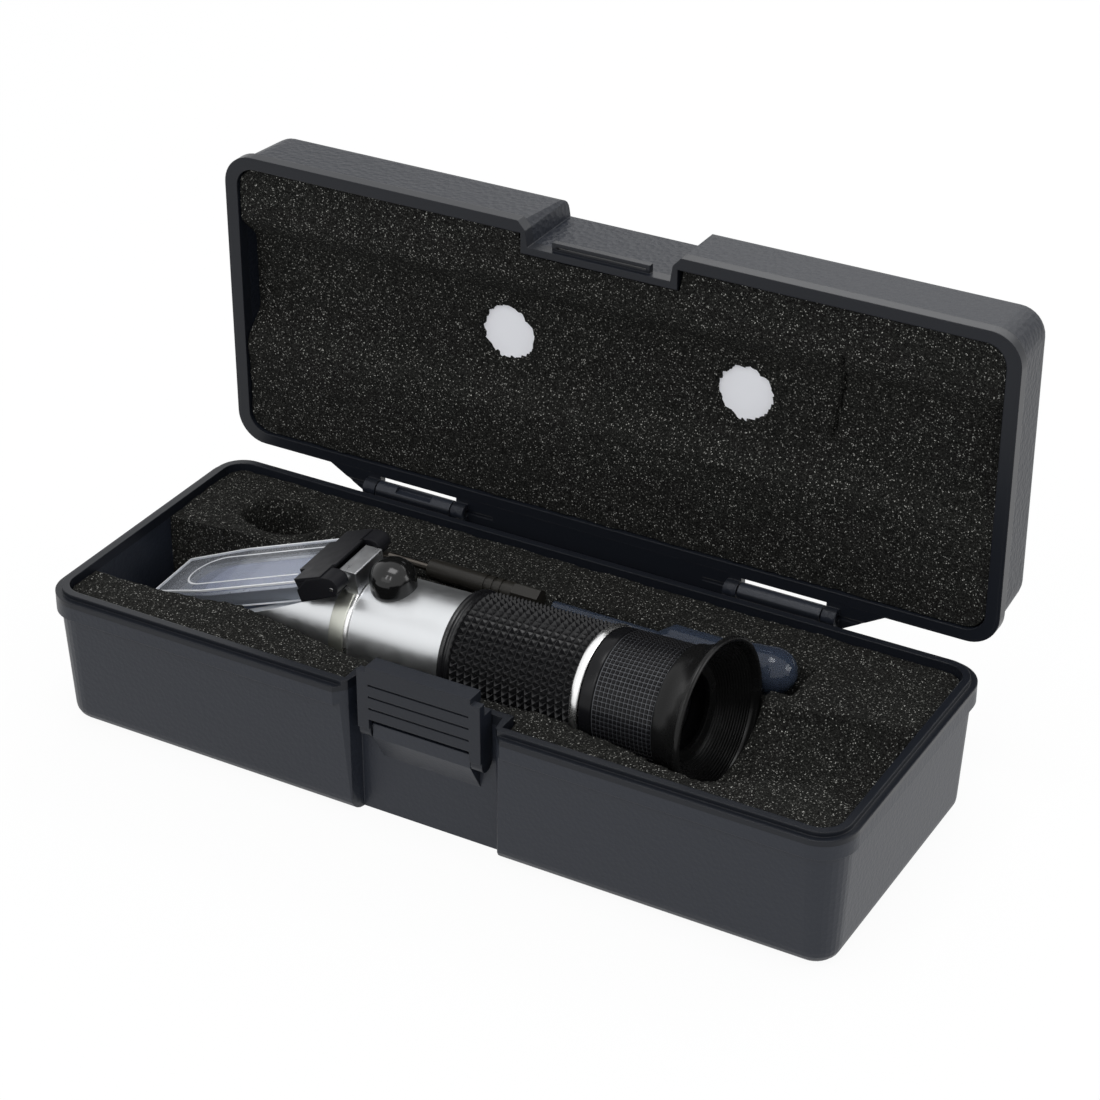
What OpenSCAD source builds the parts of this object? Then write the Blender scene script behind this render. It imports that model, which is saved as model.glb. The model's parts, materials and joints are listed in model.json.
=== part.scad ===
// Hand-held refractometer lying in its own fitted plastic case, with the adjusting
// screwdriver and the sample pipette. The case stands open, its lid at a right angle.
// X runs along the case, +Y goes back to the hinges and +Z is up. The origin is the
// middle of the underside of the case. The tube has a frame of its own, made by
// in_tube(): X along the optical axis towards the eye, Z away from the case floor.

/* [Case base] */
// Length over the base flange
case_l = 206; // [190:0.5:230]
// Width over the base flange
case_w = 78.6; // [74:0.2:90]
// Height of the base up to the face that the lid closes on
base_h = 36; // [34:0.5:44]
// Thickness of the case walls
wall = 1.8; // [1.6:0.1:3]
// Height of the flange under the lip of the base
flange_h = 4.8; // [3:0.1:7]
// How far the flange stands out past the body
flange_out = 1.1; // [0.6:0.1:2]
// Corner radius of the base body, seen from above
base_r = 7.5; // [5:0.1:10]
// How much each side leans in from the flange to the foot
draft = 1.4; // [0:0.1:2]
// Radius of the edge round the underside
foot_r = 3.9; // [2:0.1:6]
// Half the width of the recess for the latch
recess_half = 18.5; // [17:0.1:24]
// Depth of that recess below the front of the base
recess_depth = 5.6; // [5:0.1:7]
// How far the foam stays below the closing face
foam_drop = 2; // [1:0.1:5]

/* [Lid] */
// Depth of the lid, rim to top
lid_h = 20.5; // [19:0.1:26]
// Thickness of the top of the lid
lid_top = 1.6; // [1.6:0.1:3]
// Height of the raised band round the rim of the lid
lid_band = 3; // [2:0.1:5]

/* [Hinges] */
// Distance of the hinge axis behind the flange of the base
hinge_out = 2.75; // [2.6:0.05:4]
// How far the hinge axis lies below the closing face
hinge_drop = 0.75; // [0:0.05:2]
// Radius of the hinge barrels
barrel_r = 2.3; // [2:0.1:3]
// Radius of the hinge pins
pin_r = 1; // [0.8:0.05:1.4]
// Middle of each hinge, from the middle of the case
hinge_x = 49.9; // [40:0.1:60]
// Length of each barrel
barrel_l = 21.2; // [16:0.1:26]
// Running clearance of a pin in its bore
pin_play = 0.05; // [0.02:0.01:0.1]

/* [Latch] */
// Half the width of the latch over its arms
latch_half = 15.9; // [14:0.1:18]
// Width of each arm of the latch
arm_w = 2.9; // [2:0.1:4]
// How far the latch pivot lies below the closing face
latch_drop = 11.4; // [8:0.1:14]
// How far the latch stands over the closing face
latch_rise = 6; // [4.5:0.1:8]
// Radius of the latch pin
latch_pin_r = 0.9; // [0.7:0.05:1.2]

/* [Tube] */
// Gap between the tip of the plate and the end wall of the case
tip_gap = 6.8; // [4:0.1:9]
// Place of the tube axis across the case
tube_y = -7; // [-10:0.1:-4]
// How far the tube axis lies below the closing face, over the middle of the case
tube_drop = 4.1; // [3:0.1:5]
// How much the eye end lies higher
tube_pitch = 3.4; // [0:0.1:5]
// How much the eye end lies nearer to the front
tube_yaw = 2.5; // [0:0.1:4]
// Turn of the tube about its own axis, in degrees
tube_roll = 6; // [0:0.1:8]
// Radius of the metal tube
tube_r = 13; // [12.6:0.05:13.1]
// Bore of the metal tube
tube_bore = 11; // [10:0.1:11.4]
// How far the metal tube stays behind the tip of the plate
tube_short = 2.8; // [2:0.1:8]
// Where the metal tube ends under the grip
tube_back = 46; // [42:0.5:48]
// Where the collar starts
collar_front = -35.8; // [-38:0.1:-34]
// Radius of the collar
collar_r = 13.35; // [13.2:0.05:13.5]
// Length of the collar
collar_l = 4.2; // [3:0.1:6]
// Length of the thin ring behind the collar
ring_l = 1.1; // [0.8:0.1:2]

/* [Prism and daylight plate] */
// Height of the top of the plate over the axis, at the plate's hinge end
plate_high = 15.2; // [14.8:0.05:15.6]
// Where along the axis that height is taken
plate_at = -44.3; // [-46:0.1:-43]
// Slope of the prism face to the axis
plate_slope = 19.6; // [18:0.1:22]
// Width of the plate
plate_w = 19.6; // [19:0.1:20.4]
// Length of the plate down the slope
plate_l = 51.5; // [47:0.5:52]
// Thickness of the plate
plate_t = 2.2; // [1.8:0.1:2.6]
// Thickness of the plate's side skirts
skirt_t = 1.3; // [1:0.1:1.6]
// Depth of the skirts, with the plate
skirt_h = 5.2; // [4.6:0.1:5.6]
// Gap between the plate and the prism
prism_gap = 0.3; // [0.2:0.05:0.5]
// Place of the plate's pin along the axis
yoke_s = -33.9; // [-35:0.1:-33]
// Height of the plate's pin over the axis
yoke_h = 16.3; // [16:0.1:17]
// Radius of the plate's pin
yoke_pin_r = 1.1; // [0.9:0.05:1.3]
// Width of the metal block between the yoke's arms
block_w = 10.9; // [10:0.1:11.4]

/* [Adjusting screw] */
// Place of the adjusting screw along the axis
screw_s = -24.4; // [-25:0.1:-24.3]
// Radius of the domed cap over the screw
cap_r = 5.9; // [5:0.1:6]
// Height of the cap
cap_h = 7.6; // [6:0.1:7.8]

/* [Grip and eyepiece] */
// Where the grip starts
grip_front = -4.9; // [-6:0.1:-4]
// Length of the grip
grip_l = 35.2; // [33:0.1:36]
// Radius over the pattern of the grip
grip_r = 14.9; // [14.5:0.05:15]
// Length of the bright ring behind the grip
bright_l = 2.2; // [1.5:0.1:3]
// Radius of the bright ring
bright_r = 15.15; // [15:0.05:15.3]
// Radius of the eyepiece barrel
eye_r = 15; // [14.5:0.05:15.2]
// Length of the eyepiece barrel
eye_l = 19; // [18:0.1:20]
// Radius of the rim of the eyecup
cup_r = 19.2; // [18:0.05:19.3]
// Where the rim of the eyecup ends
cup_end = 60.4; // [59:0.1:61]

/* [Screwdriver and pipette] */
// Place of both across the case
kit_y = 15.6; // [15:0.1:17]
// How far the axis of the screwdriver lies below the closing face
driver_drop = 0.8; // [0:0.1:2]
// Radius of the screwdriver's handle
driver_r = 2.6; // [2:0.1:3]
// Length of the screwdriver's handle
driver_l = 30; // [24:0.5:32]
// How far the axis of the pipette lies below the closing face
pipette_drop = 1.4; // [0:0.1:2]
// Radius of the pipette's barrel
pipette_r = 4; // [3:0.1:4.4]
// Radius of the pipette's bulb
bulb_r = 5.5; // [4.6:0.1:6]
// Length of the pipette
pipette_l = 62.2; // [56:0.1:68]

/* [Hidden] */

$fn = 64;
fine = 32;
seam = 0.02;
foam_top = base_h - foam_drop;
latch_z = base_h - latch_drop;
latch_top = base_h + latch_rise;
tube_z = base_h - tube_drop;
driver_z = base_h - driver_drop;
pipette_z = base_h - pipette_drop;
body_l = case_l - 2 * flange_out;
body_w = case_w - 2 * flange_out;
lip_in = 0.5;
flange_top = base_h - 1.2;
flange_low = flange_top - flange_h;
inner_l = body_l - 2 * lip_in - 2 * wall;
inner_w = body_w - 2 * lip_in - 2 * wall;
inner_r = base_r - lip_in - wall;
recess_y = -body_w / 2 + recess_depth;
soft_gap = 0.3;
lid_l = case_l;
lid_w = case_w - 1;
rim = base_h + 0.1;
lid_roof = base_h + lid_h;
hinge_y = case_w / 2 + hinge_out;
hinge_z = base_h - hinge_drop;
shut_gap = 0.35;
lug_w = 3.4;
tongue_t = 2.2;
tongue_y = hinge_y + 3.3;
tongue_long = hinge_x + barrel_l / 2 + shut_gap + lug_w;
latch_y = recess_y - 2.5;
latch_face = latch_y - 2.8;
latch_back = latch_y + 2.2;
wedge_top = latch_z + 2.2;
rib_low = latch_z + 3.7;
catch_half = latch_half - arm_w - shut_gap;
catch_top = base_h + 3;
catch_low = base_h + 1.4;
tip_s = plate_at - plate_l * cos(plate_slope);
tube_front = tip_s + tube_short;
tube_x = tip_gap - tip_s - inner_l / 2;
thin_front = collar_front + collar_l;
grip_back = grip_front + grip_l;
grip_bore = tube_r + 0.02;
eye_front = grip_back + bright_l;
eye_back = eye_front + eye_l;
yoke_w = 21.8;
yoke_r = 2.95;
neck_r = 12.4;
cell_r = 10.6;
cell_front = eye_front + 2.5;
cell_l = 12;
lens_r = 8.6;
cup_bore = lens_r + 0.2;
frame_in = skirt_t + 0.6;
prism_in = frame_in + 1.5;
frame_drop = skirt_h + 0.5;
slope_len = plate_l - 4;
driver_x = tube_x + 0.6;
blade_r = 1;
blade_out = 14;
blade_in = 12;
finger_x = tube_x - 75;
finger_y = 21;
finger_r = 8.5;
finger_deep = 14;
pipette_x = tube_x + 4;
stem_r = 1.3;
hole_r = 6.5;
hole_y = tube_y + 0.6;
hole_x = [tube_x - 26, tube_x + 36];
patch_t = 0.3;
lens_back = screw_s + 9.8;
lens_t = 3;
cut_w = 6 * tube_r;

// Plan of the case: a rectangle with round corners, centred
module plan(l, w, r) {
    square([l - 2 * r, w], center = true);
    square([l, w - 2 * r], center = true);
    for (x = [-1, 1], y = [-1, 1])
        translate([x * (l / 2 - r), y * (w / 2 - r)]) circle(r, $fn = fine);
}

// A thin slice of that plan at height z, taken in by inset on every side
module slice(l, w, r, z, inset = 0) {
    translate([0, 0, z])
        linear_extrude(seam) plan(l - 2 * inset, w - 2 * inset, max(r - inset, 0.6));
}

// Rounded tub: full width at top_z, leaning in by lean to a round edge at low_z
module tub(l, w, r, low_z, top_z, lean, round_r) {
    up = top_z > low_z ? 1 : -1;
    hull() {
        slice(l, w, r, top_z - seam);
        for (a = [0:18:90])
            slice(l, w, r, low_z + up * round_r * (1 - sin(a)) - seam / 2,
                lean + round_r * (1 - cos(a)));
    }
}

// Block that fills the case behind the latch recess, grown by extra on each side
module recess_block(extra, low_z, high_z) {
    half = recess_half + wall + extra;
    translate([-half, -case_w, low_z])
        cube([2 * half, case_w + recess_y + wall + extra, high_z - low_z]);
}

// The recess itself, with a flared mouth
module recess(low_z, high_z) {
    mouth = -body_w / 2 + 1.6;
    translate([0, 0, low_z]) linear_extrude(high_z - low_z) polygon([
        [-recess_half, recess_y], [recess_half, recess_y],
        [recess_half + 0.6, mouth], [recess_half + 4, -case_w / 2 - 1],
        [-recess_half - 4, -case_w / 2 - 1], [-recess_half - 0.6, mouth]]);
}

// Keeps what lies between two heights
module between(low_z, high_z) {
    intersection() {
        children();
        translate([-case_l, -case_w, low_z])
            cube([2 * case_l, 2 * case_w, high_z - low_z]);
    }
}

// Hollow of the base, taken in by gap
module base_hollow(gap, low_z, high_z) {
    difference() {
        tub(inner_l - 2 * gap, inner_w - 2 * gap, inner_r - gap, low_z, high_z,
            draft, foot_r - wall);
        recess_block(gap, low_z - 1, high_z + 1);
    }
}

// Hollow of the lid, taken in by gap
module lid_hollow(gap, low_z) {
    difference() {
        tub(inner_l - 2 * gap, inner_w - 2 * gap, inner_r - gap,
            lid_roof - lid_top, low_z, 0.8, 1.6);
        recess_block(gap, low_z - 1, lid_roof);
    }
}

// The tube's own frame: X along the optical axis, Z up through the cap
module in_tube(turn = tube_roll) {
    translate([tube_x, tube_y, tube_z]) rotate([0, -tube_pitch, -tube_yaw])
        rotate([turn, 0, 0]) children();
}

// Solid of revolution on the tube axis; points are [radius, place along the axis]
module turned(points) {
    rotate([0, 90, 0]) rotate_extrude() polygon(points);
}

// Plain ring on the tube axis
module ring(front, back, outer, inner) {
    turned([[inner, front], [outer, front], [outer, back], [inner, back]]);
}

// Frame of the plate: origin on the plate's top at its hinge end, X up the slope
module on_slope() {
    translate([plate_at, 0, plate_high]) rotate([0, -plate_slope, 0]) children();
}

// Plan of the plate taken in by inset, from one place on the slope to another and
// from one height to another; it narrows towards the tip
module plate_plan(inset, from, to, low, high) {
    half = plate_w / 2 - inset;
    straight = -0.64 * plate_l;
    narrow = 2.2;
    intersection() {
        translate([0, 0, low]) linear_extrude(high - low) polygon([
            [plate_l, -half], [plate_l, half], [straight, half], [-plate_l, half - narrow],
            [-2 * plate_l, half - narrow], [-2 * plate_l, narrow - half],
            [-plate_l, narrow - half], [straight, -half]]);
        translate([from, -plate_w, low]) cube([to - from, 2 * plate_w, high - low]);
    }
}

// The lid as the case stands: opened through a right angle
module opened() {
    translate([0, hinge_y, hinge_z]) rotate([-90, 0, 0])
        translate([0, -hinge_y, -hinge_z]) children();
}

// Rod along X from one place to another
module rod(from, to, r) {
    translate([from, 0, 0]) rotate([0, 90, 0]) cylinder(r = r, h = to - from);
}

// Ramp under the latch, which carries its pin
module wedge() {
    half = latch_half - arm_w - shut_gap;
    difference() {
        translate([half, 0, 0]) rotate([90, 0, -90]) linear_extrude(2 * half) polygon([
            [-recess_y - 0.5, latch_z - 9], [-recess_y, latch_z - 9],
            [-latch_y + 1.8, latch_z - 1.4], [-latch_y + 1.8, wedge_top],
            [-recess_y - 0.5, wedge_top]]);
        translate([0, latch_y, latch_z]) rod(-half - 1, half + 1, latch_pin_r);
    }
}

module base_shell() {
    color([0.30, 0.31, 0.34]) difference() {
        union() {
            tub(body_l, body_w, base_r, 0, flange_low + 1, draft, foot_r);
            translate([0, 0, flange_low])
                linear_extrude(flange_h) plan(case_l, case_w, base_r + flange_out);
            translate([0, 0, flange_low])
                linear_extrude(base_h - flange_low)
                plan(body_l - 2 * lip_in, body_w - 2 * lip_in, base_r - lip_in);
            for (side = [-1, 1]) translate([side * hinge_x, 0, 0]) {
                translate([0, hinge_y, hinge_z])
                    rod(-barrel_l / 2, barrel_l / 2, barrel_r);
                translate([-barrel_l / 2, case_w / 2 - 2, flange_top - 3])
                    cube([barrel_l, hinge_y - case_w / 2 + 2, 2.9]);
            }
        }
        base_hollow(0, wall, base_h + 1);
        recess(-1, base_h + 1);
        for (side = [-1, 1]) translate([side * hinge_x, hinge_y, hinge_z])
            rod(-barrel_l, barrel_l, pin_r + pin_play);
        translate([-hinge_x - 5, hinge_y - barrel_r, hinge_z + 1.3])
            cube([10, barrel_r, barrel_r]);
    }
    color([0.30, 0.31, 0.34]) wedge();
}

// Room for a round piece in the foam, from one place to another on the axis of X, and
// straight up over it as far as rise
module room(from, to, r, rise) {
    translate([from, 0, 0]) rotate([0, 90, 0]) cylinder(r = r, h = to - from);
    if (rise > 0) translate([from, -r, 0]) cube([to - from, 2 * r, rise]);
}

// Everything that the foam of the base makes room for
module foam_channel(gap, rise) {
    in_tube(0) {
        room(-case_l, grip_front, collar_r + 1.5 * gap, rise);
        room(grip_front - 1, eye_back, bright_r + gap, rise);
        room(eye_back - 1, cup_end + 4, cup_r + gap, rise);
        room(cup_end, case_l, collar_r + gap, rise);
        on_slope() translate([-plate_l - 8, -plate_w / 2 - 4 * gap, -frame_drop - 4 * gap])
            cube([plate_l + 8, plate_w + 8 * gap, rise]);
    }
    translate([driver_x - driver_l - blade_out - 2, kit_y, driver_z])
        room(0, driver_l + blade_out + 3, driver_r + gap, rise);
    translate([pipette_x - 2.5, kit_y, pipette_z])
        room(0, pipette_l + 5, bulb_r + gap, rise);
}

// Room in the foam of the lid: a straight trough, deeper over the yoke and the eyecup
module lid_trough() {
    mouth = base_h - 1;
    front = tube_y - cup_r - 3.3;
    across = 2 * cup_r + 3;
    translate([-case_l / 2, front, mouth])
        cube([case_l, across, tube_z + grip_r + 3.4 - mouth]);
    translate([tube_x + yoke_s - 14, front, mouth])
        cube([screw_s + cap_r - yoke_s + 16, across, lid_h]);
    translate([tube_x + eye_back - 4, front, mouth]) cube([case_l, across, lid_h]);
    translate([driver_x - driver_l - blade_out, kit_y - bulb_r - 1, mouth])
        cube([case_l / 2 + driver_l, 2 * bulb_r + 2, driver_z + bulb_r + 0.4 - mouth]);
}

module base_foam() {
    color([0.19, 0.185, 0.17]) difference() {
        between(wall, foam_top) base_hollow(0.05, wall, base_h + 1);
        foam_channel(soft_gap, 2 * case_w);
        translate([finger_x, finger_y, foam_top - finger_deep]) cylinder(r = finger_r, h = 20);
    }
}

module latch_pin() {
    reach = latch_half - 0.4;
    color([0.6, 0.6, 0.62]) translate([0, latch_y, latch_z]) rod(-reach, reach, latch_pin_r);
}

// Flap at the back of the lid, with its windows and the lugs that hold the pins
module tongue() {
    difference() {
        union() {
            translate([0, 0, rim]) linear_extrude(tongue_t) polygon([
                [-tongue_long - 13, lid_w / 2 - 1], [tongue_long + 13, lid_w / 2 - 1],
                [tongue_long, tongue_y], [-tongue_long, tongue_y]]);
            for (side = [-1, 1], end = [-1, 1])
                translate([side * hinge_x + end * (barrel_l + lug_w + 2 * shut_gap) / 2, 0, 0]) {
                    translate([0, hinge_y, hinge_z]) rod(-lug_w / 2, lug_w / 2, barrel_r);
                    translate([-lug_w / 2, hinge_y - 1, hinge_z])
                        cube([lug_w, tongue_y - hinge_y + 0.98, rim + tongue_t - 0.02 - hinge_z]);
                }
        }
        for (side = [-1, 1]) {
            translate([side * hinge_x - barrel_l / 2 - shut_gap, lid_w / 2 + 0.2, base_h - 4])
                cube([barrel_l + 2 * shut_gap, 12, 12]);
            translate([side * hinge_x, hinge_y, hinge_z]) rod(-barrel_l, barrel_l, pin_r);
        }
    }
}

module lid_shell() {
    color([0.30, 0.31, 0.34]) opened() {
        difference() {
            union() {
                tub(lid_l - 1.6, lid_w - 0.8, base_r, lid_roof, rim, 1, 2.8);
                translate([0, 0, rim])
                    linear_extrude(lid_band) plan(lid_l, lid_w, base_r + 0.2);
            }
            lid_hollow(0, base_h - seam - 1);
            recess(base_h - 1, lid_roof + 1);
        }
        difference() {
            translate([-catch_half, recess_y - 2, catch_low])
                cube([2 * catch_half, 2.5, catch_top - catch_low]);
            translate([-catch_half + 1, recess_y - 1.1, catch_low - 1])
                cube([2 * catch_half - 2, 0.5, 4]);
        }
        tongue();
    }
}

module lid_foam() {
    color([0.19, 0.185, 0.17]) opened() difference() {
        between(base_h + 0.8, lid_roof) lid_hollow(0.05, base_h - seam - 1);
        lid_trough();
        for (x = hole_x) translate([x, hole_y, base_h]) cylinder(r = hole_r, h = lid_h);
    }
}

// Round sticker on the inside of the lid, behind a hole in the foam
module patch(x) {
    color([0.93, 0.93, 0.91]) opened()
        translate([x, hole_y, lid_roof - lid_top - patch_t]) cylinder(r = hole_r - 1, h = patch_t);
}

module patch_left() patch(hole_x[0]);

module patch_right() patch(hole_x[1]);

module hinge_pin(side) {
    reach = barrel_l / 2 + shut_gap + lug_w - 0.6;
    color([0.25, 0.26, 0.28]) translate([side * hinge_x, hinge_y, hinge_z])
        rod(-reach, reach, pin_r);
}

module hinge_pin_left() hinge_pin(-1);

module hinge_pin_right() hinge_pin(1);

module latch_plate() {
    grooves = 3;
    pitch = 0.225 * (latch_top - rib_low);
    inner = latch_half - arm_w;
    color([0.33, 0.34, 0.37]) difference() {
        union() {
            for (side = [-1, 1]) translate([side * (latch_half - arm_w / 2) - arm_w / 2, 0, 0]) {
                translate([0, latch_y, latch_z]) rod(0, arm_w, 2.2);
                translate([0, latch_face + 0.6, latch_z])
                    cube([arm_w, latch_back - latch_face - 0.6, latch_top - latch_z - 4.4]);
                translate([0, latch_face, latch_z + 1])
                    cube([arm_w, 2, latch_top - latch_z - 2.4]);
            }
            translate([-inner - 0.5, latch_face, rib_low])
                cube([2 * inner + 1, 2.3, latch_top - rib_low]);
            translate([-inner - 0.5, latch_face, catch_top + 0.3])
                cube([2 * inner + 1, 4.6, latch_top - catch_top - 0.3]);
        }
        for (i = [0:grooves - 1])
            translate([-inner, latch_face - 0.4, rib_low + (i + 0.84) * pitch])
                cube([2 * inner, 0.9, 0.5]);
        translate([0, latch_y, latch_z])
            rod(-latch_half + 0.25, latch_half - 0.25, latch_pin_r + pin_play);
    }
}

module tube_body() {
    color([0.78, 0.78, 0.77]) in_tube() difference() {
        union() {
            ring(tube_front, thin_front, tube_r, tube_bore);
            ring(thin_front, grip_back - 0.05, tube_r, tube_bore);
            ring(grip_back - 1, tube_back, neck_r, tube_bore);
            ring(tube_front, tube_front + 3, tube_r, 0);
        }
        on_slope() translate([-plate_l - 10, -cut_w / 2, -frame_drop])
            cube([plate_l + 12, cut_w, cut_w]);
        translate([screw_s, 0, 0]) cylinder(r = 1.5 + pin_play, h = 2 * tube_r);
    }
}

module collar_ring() {
    color([0.80, 0.80, 0.76]) in_tube() difference() {
        union() {
            ring(collar_front, thin_front, collar_r, tube_r);
            ring(thin_front, thin_front + ring_l, collar_r + 0.15, tube_r);
        }
        translate([collar_front - 3, -block_w / 2, 0]) cube([10, block_w, 2 * tube_r]);
    }
}

// Metal frame that holds the prism on the cut face of the tube
module prism_frame() {
    color([0.74, 0.74, 0.73]) in_tube() on_slope() difference() {
        plate_plan(frame_in, -slope_len, -2, -frame_drop, -plate_t - prism_gap);
        plate_plan(prism_in, 3 - slope_len, -5, -2 * frame_drop, 0);
    }
}

module prism_block() {
    deep = 4;
    color([0.62, 0.66, 0.74]) in_tube() {
        on_slope() plate_plan(prism_in, 3 - slope_len, -5, -frame_drop, -plate_t - prism_gap);
        intersection() {
            on_slope() plate_plan(prism_in + 1, 6 - slope_len, -8, -frame_drop - deep,
                1 - frame_drop);
            ring(tube_front, 0, tube_bore - 0.2, 0);
        }
    }
}

module objective_lens() {
    color([0.7, 0.78, 0.8]) in_tube() turned([
        [0, lens_back - lens_t - 2], [tube_bore / 2, lens_back - lens_t - 1.4],
        [tube_bore, lens_back - lens_t], [tube_bore, lens_back], [0, lens_back]]);
}

module lens_spacer() {
    color([0.1, 0.1, 0.1]) in_tube() ring(lens_back, cell_front - 8, tube_bore, tube_bore - 1.2);
}

module reticle_disc() {
    color([0.75, 0.8, 0.82]) in_tube() ring(cell_front - 8, cell_front - 6, tube_bore, 0);
}

// Block on the tube that the yoke is pinned to
module hinge_block() {
    top = yoke_h + 1.9;
    low = tube_r - 2.4;
    color([0.80, 0.80, 0.79]) in_tube() difference() {
        union() {
            translate([yoke_s, -block_w / 2, low])
                cube([screw_s - cap_r - 0.4 - yoke_s, block_w, top - low]);
            translate([yoke_s - 1.5, -block_w / 2, yoke_h])
                cube([3, block_w, top - yoke_h]);
            translate([yoke_s, block_w / 2, yoke_h]) rotate([90, 0, 0])
                cylinder(r = 2.6, h = block_w);
        }
        rotate([0, 90, 0]) cylinder(r = tube_r, h = cut_w, center = true);
        translate([yoke_s, block_w, yoke_h]) rotate([90, 0, 0])
            cylinder(r = yoke_pin_r, h = 2 * block_w);
    }
}

module yoke_pin() {
    reach = yoke_w / 2 - 0.2;
    color([0.7, 0.7, 0.7]) in_tube() translate([yoke_s, reach, yoke_h])
        rotate([90, 0, 0]) cylinder(r = yoke_pin_r, h = 2 * reach);
}

module grip_sleeve() {
    bead = 1.4;
    color([0.10, 0.10, 0.10]) in_tube() difference() {
        turned([[grip_bore, grip_front], [grip_r - 0.5, grip_front],
            [grip_r - 0.1, grip_front + 0.5], [grip_r - 0.1, grip_front + bead],
            [grip_r - 0.9, grip_front + bead + 0.3], [grip_r - 0.9, grip_front + bead + 0.7],
            [grip_r, grip_front + bead + 1], [grip_r, grip_back - 0.05],
            [grip_bore, grip_back - 0.05]]);
        for (s = [grip_front + 4.6:2:grip_back - 2])
            ring(s, s + 0.5, grip_r + 1, grip_r - 0.8);
    }
}

module bright_ring() {
    color([0.86, 0.86, 0.86]) in_tube()
        ring(grip_back, eye_front - 0.05, bright_r, neck_r + 0.02);
}

module adjusting_screw() {
    color([0.72, 0.66, 0.45]) in_tube() translate([screw_s, 0, 0]) difference() {
        union() {
            translate([0, 0, tube_bore - 3]) cylinder(r = 1.5, h = 7);
            translate([0, 0, tube_r + 0.15]) cylinder(r = 2.6, h = 2);
        }
        translate([-3, -0.35, tube_r + 1.2]) cube([6, 0.7, 2]);
    }
}

// Domed rubber cap, hollow over the head of the screw
module screw_cap() {
    low = tube_r + 0.1;
    dome = 3.6;
    color([0.03, 0.03, 0.03]) in_tube() translate([screw_s, 0, 0]) difference() {
        rotate_extrude() polygon(concat(
            [[0, low - 1.6], [cap_r - 0.6, low - 1.6], [cap_r, low - 0.4],
                [cap_r, low + cap_h - dome]],
            [for (a = [15:15:90]) [cap_r * cos(a), low + cap_h - dome + dome * sin(a)]]));
        rotate_extrude() polygon([[0, low - 2], [3, low - 2], [3, low + 3.4], [0, low + 3.4]]);
        rotate([0, 90, 0]) cylinder(r = tube_r + 0.02, h = cut_w, center = true);
    }
}

// Clear plate with a skirt down each side and a narrower tip
module plate_window() {
    blunt = 5;
    color([0.75, 0.78, 0.82]) in_tube() on_slope() {
        plate_plan(0, -plate_l, 0, -plate_t, 0);
        difference() {
            plate_plan(0, blunt - plate_l, 0, -skirt_h, seam - plate_t);
            plate_plan(skirt_t, -2 * plate_l, 1, -2 * skirt_h, 1);
        }
    }
}

// Side of the yoke: round the pin, and forward to a foot beside the plate
module yoke_side() {
    foot = yoke_s - 9.5;
    translate([yoke_s, yoke_h]) circle(r = yoke_r);
    polygon([[yoke_s, yoke_h + yoke_r - 0.05], [foot + 2.2, plate_high + 1.8],
        [foot - 0.8, plate_high - 1.8], [foot, plate_high - 4.9],
        [yoke_s + 1.2, yoke_h - yoke_r + 0.3]]);
}

// Black yoke that grips the end of the plate and turns on the pin
module plate_yoke() {
    arm_in = block_w / 2 + 0.9;
    outer = yoke_w / 2;
    arm = outer - arm_in;
    bridge = 1.2;
    color([0.12, 0.12, 0.13]) in_tube() difference() {
        union() {
            for (near = [-arm_in, outer])
                translate([0, near, 0]) rotate([90, 0, 0]) linear_extrude(arm) yoke_side();
            on_slope() {
                translate([0.05, 0.1 - outer, -plate_t]) cube([9.5, yoke_w - 0.2, plate_t + bridge]);
                translate([-2, -6.2, 0.05]) cube([3, 12.4, bridge - 0.05]);
            }
        }
        on_slope() translate([-20, -plate_w / 2 - 0.05, -skirt_h - 0.2])
            cube([20, plate_w + 0.1, skirt_h + 0.2]);
        ring(-case_l, 0, collar_r + 0.5, 0);
        translate([yoke_s, yoke_w, yoke_h]) rotate([90, 0, 0])
            cylinder(r = yoke_pin_r + pin_play, h = 2 * yoke_w);
        translate([yoke_s, arm_in, yoke_h]) rotate([90, 0, 0])
            cylinder(r = yoke_r + 0.9, h = 2 * arm_in);
        translate([yoke_s, -arm_in, yoke_h - 2 * yoke_r])
            cube([4 * yoke_r, 2 * arm_in, 4 * yoke_r]);
    }
}

module eyepiece_barrel() {
    bore = tube_bore;
    color([0.07, 0.07, 0.07]) in_tube() difference() {
        union() {
            ring(eye_front, eye_back, eye_r, neck_r + pin_play);
            ring(tube_back + 0.4, eye_back, eye_r - 1, bore);
        }
        for (s = [eye_front + 3:1.4:eye_back - 2])
            ring(s, s + 0.35, eye_r + 1, eye_r - 0.25);
    }
}

// Flared rubber eyecup with rings inside
module eyecup() {
    depth = cup_end - eye_back;
    color([0.05, 0.05, 0.05]) in_tube() difference() {
        turned([[cup_bore, eye_back + 0.02], [eye_r + 0.2, eye_back + 0.02],
            [eye_r + 0.5, eye_back + 1.5], [cup_r - 0.7, cup_end - 1.4],
            [cup_r, cup_end - 0.9], [cup_r, cup_end - 0.3], [cup_r - 0.4, cup_end],
            [cup_r - 1.1, cup_end - 0.1], [cup_r - 2.2, cup_end - 2],
            [eye_r - 3.6, eye_back + 2.4], [cup_bore, eye_back + 1.6]]);
        for (i = [1:3]) {
            s = eye_back + 2.4 + i * (depth - 4) / 4;
            r = eye_r - 3.6 + i * (cup_r - eye_r + 1.4) / 4;
            ring(s, s + 0.4, r + 0.35, r - 2);
        }
    }
}

module lens_cell() {
    color([0.15, 0.15, 0.16]) in_tube() difference() {
        ring(cell_front, cell_front + cell_l, cell_r, lens_r - 0.8);
        ring(cell_front + 5, cell_front + cell_l + 1, lens_r + 0.01, 0);
    }
}

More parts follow.
